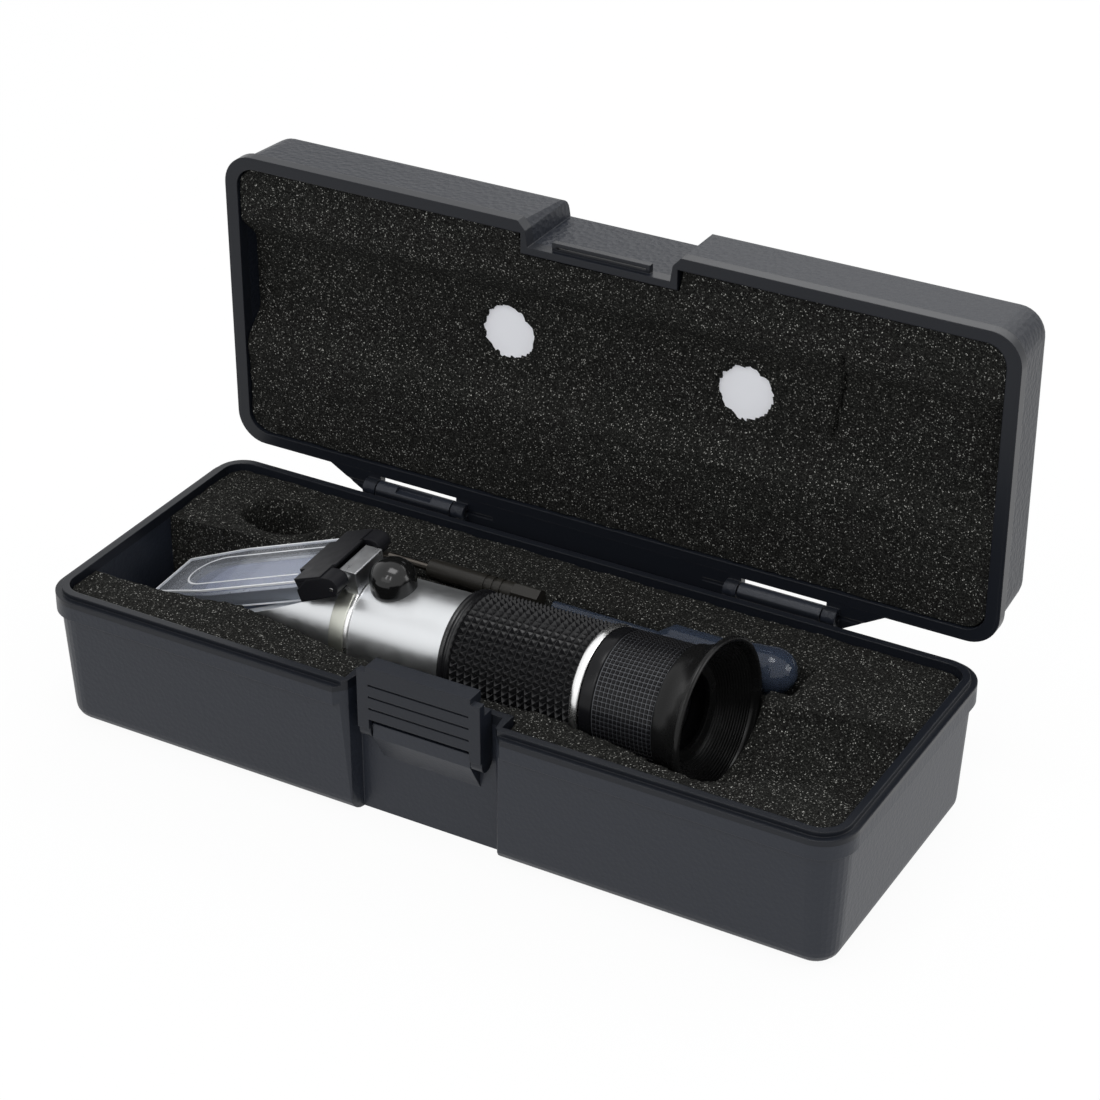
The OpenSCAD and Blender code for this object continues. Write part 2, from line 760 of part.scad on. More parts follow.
module eye_lens() {
    s = cell_front + 5;
    color([0.7, 0.78, 0.8]) in_tube() turned([
        [0, s], [lens_r, s], [lens_r, s + 2.4], [lens_r - 1.6, s + 2.4],
        [lens_r - 3.6, s + 3.3], [0, s + 3.9]]);
}

module cell_retainer() {
    s = cell_front + 5 + 2.45;
    color([0.2, 0.2, 0.2]) in_tube() ring(s, s + 2, lens_r, lens_r - 1.2);
}

module driver_handle() {
    color([0.16, 0.13, 0.12]) translate([driver_x, kit_y, driver_z]) difference() {
        union() {
            rod(-7, 0, driver_r, $fn = 6);
            rod(-driver_l, -7, driver_r - 0.2);
        }
        for (s = [-14.6, -12.4, -10.2]) rotate([0, 90, 0])
            rotate_extrude() polygon([[driver_r - 0.5, s], [driver_r + 1, s],
                [driver_r + 1, s + 0.7], [driver_r - 0.5, s + 0.7]]);
        rod(-driver_l - 1, -driver_l + blade_in, blade_r);
    }
}

module driver_blade() {
    tip = driver_l + blade_out;
    color([0.7, 0.7, 0.7]) translate([driver_x, kit_y, driver_z]) difference() {
        rod(-tip, -driver_l + blade_in, blade_r);
        for (side = [-1, 1]) translate([-tip - 1, -2, side > 0 ? 0.3 : -2.3])
            cube([3.4, 4, 2]);
    }
}

// Blown pipette: stem, cone, barrel and round bulb, with a thin wall
module pipette() {
    skin = 0.6;
    end = pipette_l;
    cone = 0.435 * end;
    neck = 0.71 * end;
    color([0.72, 0.78, 0.85]) translate([pipette_x, kit_y, pipette_z]) turned(concat(
        [[stem_r - skin, 0], [stem_r, 0], [stem_r, cone], [pipette_r, cone + 4],
            [pipette_r, neck], [bulb_r - 1, neck + 2]],
        [for (a = [0:15:75]) [bulb_r * cos(a), end - bulb_r * (1 - sin(a))]],
        [[0, end], [0, end - skin]],
        [for (a = [75:-15:0]) [(bulb_r - skin) * cos(a), end - bulb_r + (bulb_r - skin) * sin(a)]],
        [[bulb_r - 1 - skin, neck + 2.4], [pipette_r - skin, neck + 0.4],
            [pipette_r - skin, cone + 4.3], [stem_r - skin, cone + 0.3]]));
}

base_shell();
base_foam();
latch_pin();
lid_shell();
lid_foam();
patch_left();
patch_right();
hinge_pin_left();
hinge_pin_right();
latch_plate();
tube_body();
collar_ring();
prism_frame();
prism_block();
objective_lens();
lens_spacer();
reticle_disc();
hinge_block();
yoke_pin();
grip_sleeve();
bright_ring();
adjusting_screw();
screw_cap();
plate_window();
plate_yoke();
eyepiece_barrel();
eyecup();
lens_cell();
eye_lens();
cell_retainer();
driver_handle();
driver_blade();
pipette();
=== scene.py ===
import math

import bmesh
import bpy
from mathutils import Matrix, Vector, noise
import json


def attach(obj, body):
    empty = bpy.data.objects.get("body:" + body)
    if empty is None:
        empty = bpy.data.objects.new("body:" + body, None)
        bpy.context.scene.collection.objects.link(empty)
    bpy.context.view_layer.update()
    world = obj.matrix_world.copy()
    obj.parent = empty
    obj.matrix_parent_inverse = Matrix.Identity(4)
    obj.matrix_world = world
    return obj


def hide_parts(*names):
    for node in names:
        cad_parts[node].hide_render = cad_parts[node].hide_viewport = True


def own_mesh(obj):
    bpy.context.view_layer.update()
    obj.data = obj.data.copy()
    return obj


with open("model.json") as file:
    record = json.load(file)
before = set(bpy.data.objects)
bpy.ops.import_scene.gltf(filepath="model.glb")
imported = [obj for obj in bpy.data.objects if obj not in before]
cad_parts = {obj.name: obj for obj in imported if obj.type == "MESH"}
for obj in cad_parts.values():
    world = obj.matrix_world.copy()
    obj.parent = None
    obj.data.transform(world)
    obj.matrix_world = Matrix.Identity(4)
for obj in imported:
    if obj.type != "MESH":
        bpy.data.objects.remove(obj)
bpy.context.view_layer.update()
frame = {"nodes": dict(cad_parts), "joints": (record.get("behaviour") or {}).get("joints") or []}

MM = 0.001

# Camera, from the photograph: place, direction of view and upper side, in metres
camera_place = Vector((0.2959, -0.5001, 0.3953))
camera_view = Vector((-0.42661, 0.75116, -0.50376))
camera_up = Vector((-0.24878, 0.43804, 0.86385))
camera_lens = 97.61

camera_data = bpy.data.cameras.new("camera")
camera_data.lens = camera_lens
camera_data.sensor_width = 36
camera = bpy.data.objects.new("camera", camera_data)
bpy.context.scene.collection.objects.link(camera)
camera_side = camera_view.cross(camera_up)
turn = Matrix((camera_side, camera_up, -camera_view)).transposed()
camera.matrix_world = Matrix.Translation(camera_place) @ turn.to_4x4()
bpy.context.scene.camera = camera
bpy.context.scene.view_settings.view_transform = "Standard"

# The tube's own frame, read from the joints: X along the optical axis, Z up
joints = {j["name"]: j for j in frame["joints"]}
tube_x = Vector(joints["focus_turn"]["axis"])
tube_y = Vector(joints["plate_hinge"]["axis"])
tube_z = tube_x.cross(tube_y)
focus_s = 40
tube_start = Vector(joints["focus_turn"]["pos_m"]) - tube_x * focus_s * MM
tube_turn = Matrix((tube_x, tube_y, tube_z)).transposed().to_4x4()
TUBE = Matrix.Translation(tube_start) @ tube_turn @ Matrix.Scale(MM, 4)
CASE = Matrix.Scale(MM, 4)

# The prism face and the plate on it: origin at the plate's hinge end, X up the slope
plate_at = -44.3
plate_high = 15.2
plate_slope = math.radians(19.6)
plate_l = 51.5
plate_half = 9.8
SLOPE = TUBE @ Matrix.Translation((plate_at, 0, plate_high)) @ Matrix.Rotation(-plate_slope, 4, "Y")

# The lid stands opened through a right angle about its hinge
hinge = Vector(joints["lid_hinge"]["pos_m"])
OPENED = (Matrix.Translation(hinge) @ Matrix.Rotation(-math.pi / 2, 4, "X")
          @ Matrix.Translation(-hinge) @ CASE)


class Nodes:
    """One material, with short ways to add and join its shader nodes."""

    def __init__(self, name):
        self.material = bpy.data.materials.new(name)
        self.material.use_nodes = True
        self.tree = self.material.node_tree
        self.shader = self.tree.nodes["Principled BSDF"]
        self.places = self.add("ShaderNodeTexCoord").outputs["Object"]

    def add(self, kind, **settings):
        made = self.tree.nodes.new(kind)
        for key, value in settings.items():
            setattr(made, key, value)
        return made

    def join(self, source, target):
        self.tree.links.new(source, target)

    def put(self, **values):
        for key, value in values.items():
            self.shader.inputs[key.replace("_", " ")].default_value = value

    def noise(self, size_mm, detail=3, stretch=(1, 1, 1)):
        """Noise with grains of that size, as a value from 0 to 1."""
        spread = self.add("ShaderNodeMapping")
        spread.inputs["Scale"].default_value = stretch
        self.join(self.places, spread.inputs["Vector"])
        made = self.add("ShaderNodeTexNoise")
        made.inputs["Scale"].default_value = 1 / (size_mm * MM)
        made.inputs["Detail"].default_value = detail
        self.join(spread.outputs["Vector"], made.inputs["Vector"])
        return made.outputs["Fac"]

    def cells(self, size_mm):
        """Distance to the nearest cell centre, for cells of that size."""
        made = self.add("ShaderNodeTexVoronoi")
        made.inputs["Scale"].default_value = 1 / (size_mm * MM)
        self.join(self.places, made.inputs["Vector"])
        return made.outputs["Distance"]

    def ramp(self, source, *stops):
        """Colour ramp; each stop is (position, colour or grey)."""
        made = self.add("ShaderNodeValToRGB")
        points = made.color_ramp.elements
        while len(points) < len(stops):
            points.new(0.5)
        for point, (position, tone) in zip(points, stops):
            point.position = position
            grey = isinstance(tone, (int, float))
            point.color = (tone, tone, tone, 1) if grey else (*tone, 1)
        self.join(source, made.inputs["Fac"])
        return made.outputs["Color"]

    def bump(self, source, height_mm, strength=1.0, under=None):
        made = self.add("ShaderNodeBump")
        made.inputs["Strength"].default_value = strength
        made.inputs["Distance"].default_value = height_mm * MM
        self.join(source, made.inputs["Height"])
        if under is not None:
            self.join(under, made.inputs["Normal"])
        return made.outputs["Normal"]

    def soft_edge(self, radius_mm):
        made = self.add("ShaderNodeBevel", samples=4)
        made.inputs["Radius"].default_value = radius_mm * MM
        return made.outputs["Normal"]

    def between(self, axis, low_mm, high_mm):
        """1 where the place along that axis lies between the two, else 0."""
        split = self.add("ShaderNodeSeparateXYZ")
        self.join(self.places, split.inputs["Vector"])
        over = self.add("ShaderNodeMath", operation="GREATER_THAN")
        self.join(split.outputs[axis], over.inputs[0])
        over.inputs[1].default_value = low_mm * MM
        under = self.add("ShaderNodeMath", operation="LESS_THAN")
        self.join(split.outputs[axis], under.inputs[0])
        under.inputs[1].default_value = high_mm * MM
        both = self.add("ShaderNodeMath", operation="MULTIPLY")
        self.join(over.outputs[0], both.inputs[0])
        self.join(under.outputs[0], both.inputs[1])
        return both.outputs[0]

    def math(self, operation, a, b):
        made = self.add("ShaderNodeMath", operation=operation)
        for socket, value in zip(made.inputs, (a, b)):
            if isinstance(value, (int, float)):
                socket.default_value = value
            else:
                self.join(value, socket)
        return made.outputs[0]

    def to(self, key, source):
        self.join(source, self.shader.inputs[key])


def case_plastic(name, axis, low, high, grain_mm, depth_mm, shine, tint=1.0):
    """Leather-grained near-black plastic, smooth between low and high along axis; that smooth band
    is also painted darker, a painted dark reflection.
    """
    n = Nodes(name)
    smooth = n.between(axis, low, high)
    rough_part = n.math("SUBTRACT", 1.0, smooth)
    pebble = n.math("MULTIPLY", n.cells(grain_mm), rough_part)
    grain = n.math("MULTIPLY", n.noise(0.35, 2), rough_part)
    wall = [tint * c for c in (0.0125, 0.0155, 0.0235)]
    # Painted reflection: the smooth band's colour is darker to stand for the dark surroundings its
    # gloss reflects; its lower roughness is real.
    tone = n.ramp(smooth, (0.0, wall), (1.0, (0.008, 0.0095, 0.0135)))
    n.to("Base Color", tone)
    n.to("Roughness", n.ramp(smooth, (0.0, 0.42), (1.0, 0.32)))
    n.to("Specular IOR Level", n.ramp(smooth, (0.0, shine), (1.0, 0.25)))
    fine = n.bump(grain, 0.04, 0.7, n.soft_edge(0.35))
    n.to("Normal", n.bump(pebble, depth_mm, 0.8, fine))
    return n.material


def foam_material(name):
    """Open-cell foam: near black, with pale specks where cell walls catch light."""
    n = Nodes(name)
    specks = n.ramp(n.cells(0.5), (0.0, 1.0), (0.24, 0.6), (0.45, 0.0))
    patches = n.ramp(n.noise(0.7, 3), (0.4, 0.05), (0.62, 1.0))
    pits = n.ramp(n.noise(0.5, 3), (0.38, 0.0), (0.6, 0.16))
    mixed = n.math("ADD", n.math("MULTIPLY", specks, patches), pits)
    tone = n.ramp(mixed, (0.0, (0.004, 0.004, 0.0036)), (0.16, (0.016, 0.016, 0.0145)),
                  (0.5, (0.08, 0.08, 0.073)), (1.0, (0.55, 0.54, 0.5)))
    n.to("Base Color", tone)
    n.put(Roughness=0.95)
    n.shader.inputs["Specular IOR Level"].default_value = 0.1
    fine = n.bump(n.noise(0.4, 4), 0.45, 0.9)
    n.to("Normal", n.bump(n.noise(1.2, 2), 0.4, 0.5, fine))
    return n.material


def plain(name, color, roughness, edge=0.15, wear=0.06, shine=0.5):
    """Hard material with a soft edge and a little unevenness of finish."""
    n = Nodes(name)
    n.shader.inputs["Base Color"].default_value = (*color, 1)
    uneven = n.ramp(n.noise(3, 4), (0.3, max(roughness - wear, 0.02)), (0.7, roughness + wear))
    n.to("Roughness", uneven)
    n.to("Normal", n.bump(n.noise(0.3, 3), 0.004, 0.5, n.soft_edge(edge)))
    n.shader.inputs["Specular IOR Level"].default_value = shine
    return n.material


def satin_metal(name, color, roughness):
    """Fine-turned metal with a silky sheen."""
    n = Nodes(name)
    n.shader.inputs["Base Color"].default_value = (*color, 1)
    n.put(Metallic=1.0)
    n.to("Roughness", n.ramp(n.noise(2, 5), (0.3, roughness - 0.04), (0.7, roughness + 0.04)))
    n.to("Normal", n.bump(n.noise(0.12, 3), 0.001, 0.4, n.soft_edge(0.2)))
    return n.material


def glass(name, color, ior):
    """Ground glass of a lens."""
    n = Nodes(name)
    n.shader.inputs["Base Color"].default_value = (*color, 1)
    n.put(IOR=ior)
    n.shader.inputs["Transmission Weight"].default_value = 1.0
    n.to("Roughness", n.ramp(n.noise(4, 3), (0.3, 0.0), (0.7, 0.04)))
    return n.material


def thin_clear(name, tint, film, least=0.1, most=0.85):
    """Thin clear plastic: seen through from the front, with a film of colour edge on."""
    n = Nodes(name)
    n.shader.inputs["Base Color"].default_value = (*film, 1)
    n.to("Roughness", n.ramp(n.noise(4, 3), (0.3, 0.05), (0.7, 0.1)))
    through = n.add("ShaderNodeBsdfTransparent")
    through.inputs["Color"].default_value = (*tint, 1)
    facing = n.add("ShaderNodeLayerWeight").outputs["Facing"]
    share = n.ramp(facing, (0.0, least), (0.6, least + 0.1), (1.0, most))
    mixed = n.add("ShaderNodeMixShader")
    n.join(share, mixed.inputs["Fac"])
    n.join(through.outputs["BSDF"], mixed.inputs[1])
    n.join(n.shader.outputs["BSDF"], mixed.inputs[2])
    n.join(mixed.outputs["Shader"], n.tree.nodes["Material Output"].inputs["Surface"])
    return n.material


shell_base = case_plastic("case_base", "Z", 33.5, 36.2, 1.1, 0.05, 0.35)
shell_lid = case_plastic("case_lid", "Y", 41, 46, 1.4, 0.16, 0.22, 0.75)
shell_latch = case_plastic("case_latch", "Z", -2, -1, 0.9, 0.03, 0.3, 0.7)
foam = foam_material("foam")
satin = satin_metal("satin", (0.66, 0.675, 0.69), 0.36)
collar = satin_metal("collar", (0.60, 0.61, 0.55), 0.42)
yoke_black = plain("yoke_black", (0.009, 0.009, 0.011), 0.42, edge=0.4, shine=0.14)
frame_metal = satin_metal("frame_metal", (0.40, 0.42, 0.45), 0.36)
driver_steel = satin_metal("driver_steel", (0.10, 0.09, 0.08), 0.3)
block_metal = satin_metal("block_metal", (0.66, 0.67, 0.69), 0.3)
bezel_metal = satin_metal("bezel", (0.62, 0.63, 0.67), 0.3)
bright = satin_metal("bright", (0.86, 0.86, 0.86), 0.28)
steel = satin_metal("steel", (0.6, 0.6, 0.6), 0.25)
brass = satin_metal("brass", (0.72, 0.56, 0.3), 0.3)
black_plastic = plain("black_plastic", (0.018, 0.018, 0.021), 0.34)
dark_plastic = plain("dark_plastic", (0.012, 0.012, 0.014), 0.35, shine=0.35)
black_rubber = plain("black_rubber", (0.007, 0.007, 0.008), 0.3, shine=0.4)
gloss_black = plain("gloss_black", (0.006, 0.006, 0.006), 0.15, wear=0.02, shine=0.4)
cup_rubber = plain("cup_rubber", (0.006, 0.006, 0.006), 0.26, wear=0.04, shine=0.2)
barrel_black = plain("barrel_black", (0.006, 0.006, 0.007), 0.24, wear=0.04, shine=0.17)
driver_brown = plain("driver_brown", (0.017, 0.0155, 0.013), 0.35, shine=0.25)
sticker = plain("sticker", (0.93, 0.93, 0.96), 0.8)
lens_glass = glass("lens_glass", (0.9, 0.95, 0.97), 1.52)
prism_glass = plain("prism_glass", (0.26, 0.29, 0.4), 0.14, edge=0.3)
window_blue = plain("window_blue", (0.22, 0.25, 0.36), 0.15, wear=0.02, shine=0.3)
# Painted reflection: a darker blue for the dark reflection in the window's round end.
window_painted_reflection = plain("window_painted_reflection", (0.085, 0.1, 0.17), 0.15, wear=0.02, shine=0.3)
acrylic = thin_clear("acrylic", (0.95, 0.96, 0.98), (0.42, 0.44, 0.48), 0.07, 0.6)
acrylic_edge = plain("acrylic_edge", (0.78, 0.79, 0.81), 0.2)
# Painted highlight: the knurl's grooves are coloured lighter where their edges catch light.
knurl_painted_glint = plain("knurl_painted_glint", (0.06, 0.063, 0.07), 0.35)
pipette_clear = thin_clear("pipette_clear", (0.86, 0.89, 0.95), (0.04, 0.052, 0.078), 0.5, 0.95)

finishes = {
    "base_shell": shell_base, "lid_shell": shell_lid, "latch_plate": shell_latch,
    "latch_pin": steel, "hinge_pin_left": dark_plastic, "hinge_pin_right": dark_plastic,
    "patch_left": sticker, "patch_right": sticker, "tube_body": satin,
    "collar_ring": collar, "prism_frame": frame_metal, "prism_block": prism_glass,
    "objective_lens": lens_glass, "lens_spacer": black_plastic, "reticle_disc": lens_glass,
    "hinge_block": satin, "yoke_pin": steel, "grip_sleeve": black_rubber,
    "bright_ring": bright, "adjusting_screw": brass, "screw_cap": gloss_black,
    "plate_window": acrylic, "plate_yoke": black_plastic, "eyepiece_barrel": barrel_black,
    "eyecup": cup_rubber, "lens_cell": black_plastic, "eye_lens": lens_glass,
    "cell_retainer": black_plastic, "driver_handle": driver_brown, "driver_blade": driver_steel,
    "pipette": pipette_clear, "base_foam": foam, "lid_foam": foam,
}
smooth_angle = math.radians(32)
for node_name, finish in finishes.items():
    shown = frame["nodes"][node_name]
    shown.data.materials.clear()
    shown.data.materials.append(finish)
    shown.data.shade_smooth()
    shown.data.set_sharp_from_angle(angle=smooth_angle)


def piece(name, points, faces, finish, place, body, nodes=(), slot=None, sharp=smooth_angle):
    """New mesh piece, in millimetres in the frame place, which rides on a body."""
    mesh = bpy.data.meshes.new(name)
    mesh.from_pydata([place @ Vector(p) for p in points], [], faces)
    work = bmesh.new()
    work.from_mesh(mesh)
    bmesh.ops.remove_doubles(work, verts=work.verts, dist=1e-6)
    bmesh.ops.dissolve_degenerate(work, edges=work.edges, dist=1e-6)
    bmesh.ops.recalc_face_normals(work, faces=work.faces)
    work.to_mesh(mesh)
    work.free()
    mesh.materials.append(finish)
    mesh.shade_smooth()
    mesh.set_sharp_from_angle(angle=sharp)
    made = bpy.data.objects.new(name, mesh)
    bpy.context.scene.collection.objects.link(made)
    if nodes:
        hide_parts(*nodes)
    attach(made, body)
    return made


def turned(profile, around=128):
    """Points and faces of a closed profile of (place, radius) turned about X."""
    points = []
    for s, r in profile:
        for i in range(around):
            a = 2 * math.pi * i / around
            points.append((s, r * math.cos(a), r * math.sin(a)))
    faces = []
    rings = len(profile)
    for k in range(rings):
        after = (k + 1) % rings
        for i in range(around):
            j = (i + 1) % around
            faces.append((k * around + i, k * around + j, after * around + j, after * around + i))
    return points, faces


def smoothstep(low, high, value):
    t = min(max((value - low) / (high - low), 0.0), 1.0)
    return t * t * (3 - 2 * t)


def slab(outline, low, high):
    """Points and faces of a flat outline in X and Y, thick from low to high."""
    count = len(outline)
    points = [(x, y, z) for z in (low, high) for x, y in outline]
    faces = [tuple(range(count)), tuple(range(count, 2 * count))]
    faces += [(i, (i + 1) % count, count + (i + 1) % count, count + i) for i in range(count)]
    return points, faces


def arc(cx, cy, rx, ry, start, end, steps=24):
    """Points of an arc of an ellipse, from one angle in degrees to another."""
    return [(cx + rx * math.cos(math.radians(start + (end - start) * i / steps)),
             cy + ry * math.sin(math.radians(start + (end - start) * i / steps)))
            for i in range(steps + 1)]


# Foam. Both foams are blocks whose upper side is a height over the case's plan
foam_half_x = 99.2
foam_half_y = 35.5
foam_corner = 5.0
notch_half = 21
notch_y = -30.2
foam_step = 0.75


def in_plan(x, y):
    """The nearest place inside the foam's outline."""
    inset_x = foam_half_x - foam_corner
    inset_y = foam_half_y - foam_corner
    over_x = abs(x) - inset_x
    over_y = abs(y) - inset_y
    if over_x > 0 and over_y > 0 and math.hypot(over_x, over_y) > foam_corner:
        shrink = foam_corner / math.hypot(over_x, over_y)
        x = math.copysign(inset_x + over_x * shrink, x)
        y = math.copysign(inset_y + over_y * shrink, y)
    if abs(x) < notch_half and y < notch_y:
        y = notch_y
    return x, y


def foam_block(name, height, flat, place, body, node):
    """Block of foam between a flat side and an upper side given by a height."""
    columns = round(2 * foam_half_x / foam_step)
    rows = round(2 * foam_half_y / foam_step)
    points = []
    for level in (0, 1):
        for i in range(columns + 1):
            for j in range(rows + 1):
                x, y = in_plan(-foam_half_x + 2 * foam_half_x * i / columns,
                               -foam_half_y + 2 * foam_half_y * j / rows)
                points.append((x, y, height(x, y) if level else flat))

    def at(level, i, j):
        return (level * (columns + 1) + i) * (rows + 1) + j

    faces = []
    for i in range(columns):
        for j in range(rows):
            for level in (0, 1):
                faces.append((at(level, i, j), at(level, i + 1, j),
                              at(level, i + 1, j + 1), at(level, i, j + 1)))
    for i in range(columns):
        for j in (0, rows):
            faces.append((at(0, i, j), at(0, i + 1, j), at(1, i + 1, j), at(1, i, j)))
    for j in range(rows):
        for i in (0, columns):
            faces.append((at(0, i, j), at(0, i, j + 1), at(1, i, j + 1), at(1, i, j)))
    made = piece(name, points, faces, foam, place, body, [node], sharp=math.radians(80))
    return made


# Edges of the trough in the base foam, seen from above: places (x, y)
front_edge = [(-99.2, -22.6), (-81, -23), (-60, -19), (-41.5, -22.3), (-27, -25.5), (14, -26),
              (23, -24), (39, -26.5), (62.5, -30.4), (66, -30.2), (76.3, -23.1), (88.5, -19.2),
              (99.2, -23)]
back_edge = [(-99.2, 6.7), (-60, 9.7), (-6, 8.4), (-3, 9.6), (46, 8.2), (49.5, 11), (62.2, 11),
             (63.8, 3), (78.5, 7.4), (99.2, 10)]
base_floor = 2.05
foam_top = 34
least_foam = 3.0
valley_start = 63
valley_deep = 9
kit_y = 15.6
driver_start = -64
driver_z = 35.2
driver_room = 3.2
pipette_start = 1.6
pipette_end = 68.3
pipette_z = 34.6
pipette_room = 6.1
finger_x = -75
finger_y = 20.3
finger_half_x = 10.5
finger_half_y = 7.5
finger_deep = 13
lid_face = 36.9
lid_roof = 54.85
lid_trough = 5.6
slit_x = 57.2
slit_lean = 0.16
slit_half = 0.45
slit_deep = 1.6
spots = (("paper_left", "patch_left", -27.9, -5.6), ("paper_right", "patch_right", 34.8, -5.2))
spot_r = 6.5
spot_deep = 2.4
paper_deep = 1.5
paper_t = 0.3
paper_r = spot_r + 1.3


def along(edge, x):
    """Place y of an edge over x, straight from point to point."""
    for (x0, y0), (x1, y1) in zip(edge, edge[1:]):
        if x <= x1:
            return y0 + (y1 - y0) * (x - x0) / (x1 - x0)
    return edge[-1][1]


def axis_over(x):
    """Place across and height of the tube's axis over x, in millimetres."""
    spot = tube_start + tube_x * (x * MM - tube_start.x) / tube_x.x
    return spot.y / MM, spot.z / MM


def tube_room(x):
    """Radius that the foam keeps clear of, larger at the grip and at the eyecup."""
    r = 13.9 + 1.75 * smoothstep(-9, -5.5, x)
    return r + 3.9 * smoothstep(48, 50.6, x)


def grain(x, y, size, height):
    return height * noise.noise(Vector((x / size, y / size, 0.5)))


def base_height(x, y):
    """Upper side of the base's foam, with room for the tube and the loose kit."""
    top = foam_top + grain(x, y, 9, 0.35) + grain(x, y, 2.2, 0.28)
    front = along(front_edge, x)
    back = along(back_edge, x)
    height = top
    if front < y < back and x > valley_start:
        share = (y - front) / (back - front)
        height = top - valley_deep * math.sin(math.pi * share) ** 0.6
    elif front < y < back:
        mid, axis_z = axis_over(x)
        across = y - mid
        low = axis_z - 4
        r = tube_room(x)
        if abs(across) < r:
            height = min(low, axis_z - math.sqrt(r * r - across * across) - 0.3)
        else:
            edge = abs((front if across < 0 else back) - mid)
            share = (abs(across) - r) / max(edge - r, 0.01)
            height = low + (top - low) * smoothstep(0.2, 1, share)
    kit = y - kit_y
    if driver_start < x < pipette_start and abs(kit) < driver_room:
        height = min(height, driver_z - math.sqrt(driver_room ** 2 - kit * kit))
    if pipette_start <= x < pipette_end and abs(kit) < pipette_room:
        height = min(height, pipette_z - math.sqrt(pipette_room ** 2 - kit * kit))
    away = math.hypot((x - finger_x) / finger_half_x, (y - finger_y) / finger_half_y)
    height -= (1 - smoothstep(0.8, 1.02, away)) * finger_deep
    return max(height, least_foam)


def lid_height(x, y):
    """Lower side of the lid's foam, as the lid lies shut."""
    face = lid_face + grain(x, y, 9, 0.4) + grain(x, y, 2.2, 0.3)
    face += lid_trough * smoothstep(-23, -15, y) * smoothstep(11.5, 3, y)
    if abs(x - slit_x + slit_lean * y) < slit_half and -24 < y < 0:
        face += slit_deep
    for _, _, spot_x, spot_y in spots:
        ragged = spot_r + 0.9 + grain(x, y, 1.1, 0.8)
        away = math.hypot(x - spot_x, y - spot_y)
        face += spot_deep * (1 - smoothstep(ragged - 0.8, ragged, away))
    return min(face, lid_roof - 0.3)


foam_block("base_foam_soft", base_height, base_floor, CASE, "case_base", "base_foam")
lid_foam = foam_block("lid_foam_soft", lid_height, lid_roof, OPENED, "lid", "lid_foam")
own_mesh(lid_foam)

# White paper that shows through the two holes in the foam of the lid
paper_low = lid_face + lid_trough + paper_deep
for paper_name, patch, spot_x, spot_y in spots:
    disc = arc(spot_x, spot_y, paper_r, paper_r, 0, 355, 71)
    points, faces = slab(disc, paper_low, paper_low + paper_t)
    paper = piece(paper_name, points, faces, sticker, OPENED, "lid", [patch])
    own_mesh(paper)

# Grip: rows of small pyramids between two plain bands
grip_start = -2.1
grip_end = 29.9
grip_low = 13.55
grip_high = 14.88
grip_around = 52
grip_along = 16


def grip_mesh():
    """Points and faces of the grip's pyramids, each with its own peak."""
    points = []
    faces = []
    pitch = (grip_end - grip_start) / grip_along
    for k in range(grip_along + 1):
        for i in range(grip_around):
            a = 2 * math.pi * i / grip_around
            points.append((grip_start + k * pitch, grip_low * math.cos(a), grip_low * math.sin(a)))
    peaks = len(points)
    for k in range(grip_along):
        for i in range(grip_around):
            a = 2 * math.pi * (i + 0.5) / grip_around
            points.append((grip_start + (k + 0.5) * pitch,
                           grip_high * math.cos(a), grip_high * math.sin(a)))
            peak = peaks + k * grip_around + i
            j = (i + 1) % grip_around
            ring = [k * grip_around + i, k * grip_around + j,
                    (k + 1) * grip_around + j, (k + 1) * grip_around + i]
            for one, two in zip(ring, ring[1:] + ring[:1]):
                faces.append((one, two, peak))
    return points, faces


facet_angle = math.radians(12)
piece("grip_knurl", *grip_mesh(), black_rubber, TUBE, "instrument", slot="black_rubber",
      sharp=facet_angle)
sleeve = turned([(-4.9, 13.02), (-4.9, 14.3), (-4.75, 14.65), (-4.4, 14.8), (-4.0, 14.8),
                 (-3.7, 14.65), (-3.5, 14.2), (-3.2, 14.05), (-2.9, 14.3), (-2.5, 14.35),
                 (-2.2, 14.1), (-2.0, 13.5), (30.2, 13.5), (30.2, 13.02)])
piece("grip_sleeve_soft", *sleeve, black_rubber, TUBE, "instrument", ["grip_sleeve"])

# Eyepiece barrel: rows of small raised squares between two plain bands
knurl_start = 36.2
knurl_end = 51.05
knurl_low = 14.55
knurl_high = 14.85
knurl_around = 84
knurl_along = 14


def knurl_mesh():
    """Points and faces of the barrel's raised squares, each with sloping sides."""
    points = []
    faces = []
    pitch = (knurl_end - knurl_start) / knurl_along
    margins = (0.06, 0.18, 0.82, 0.94)
    for k in range(knurl_along):
        for i in range(knurl_around):
            first = len(points)
            for u in margins:
                for v in margins:
                    raised = u in margins[1:3] and v in margins[1:3]
                    r = knurl_high if raised else knurl_low
                    a = 2 * math.pi * (i + v) / knurl_around
                    points.append((knurl_start + (k + u) * pitch, r * math.cos(a), r * math.sin(a)))
            for p in range(3):
                for q in range(3):
                    faces.append((first + 4 * p + q, first + 4 * p + q + 1,
                                  first + 4 * p + q + 5, first + 4 * p + q + 4))
    return points, faces


barrel = turned([(32.55, 12.5), (32.55, 14.4), (32.9, 14.8), (35.3, 14.85), (35.7, 14.75),
                 (36.0, 14.4), (51.2, 14.4), (51.45, 11.1), (46.5, 11.1), (46.5, 12.5)])
piece("barrel_soft", *barrel, barrel_black, TUBE, "eyepiece", ["eyepiece_barrel"])
# A lighter cylinder under the raised squares shows in the grooves as a painted highlight.
glint_rings = turned([(36.05, 14.3), (36.05, 14.6), (51.05, 14.6), (51.05, 14.3)])
piece("knurl_glints", *glint_rings, knurl_painted_glint, TUBE, "eyepiece", slot="black_plastic")
piece("barrel_knurl", *knurl_mesh(), barrel_black, TUBE, "eyepiece", slot="black_plastic",
      sharp=facet_angle)

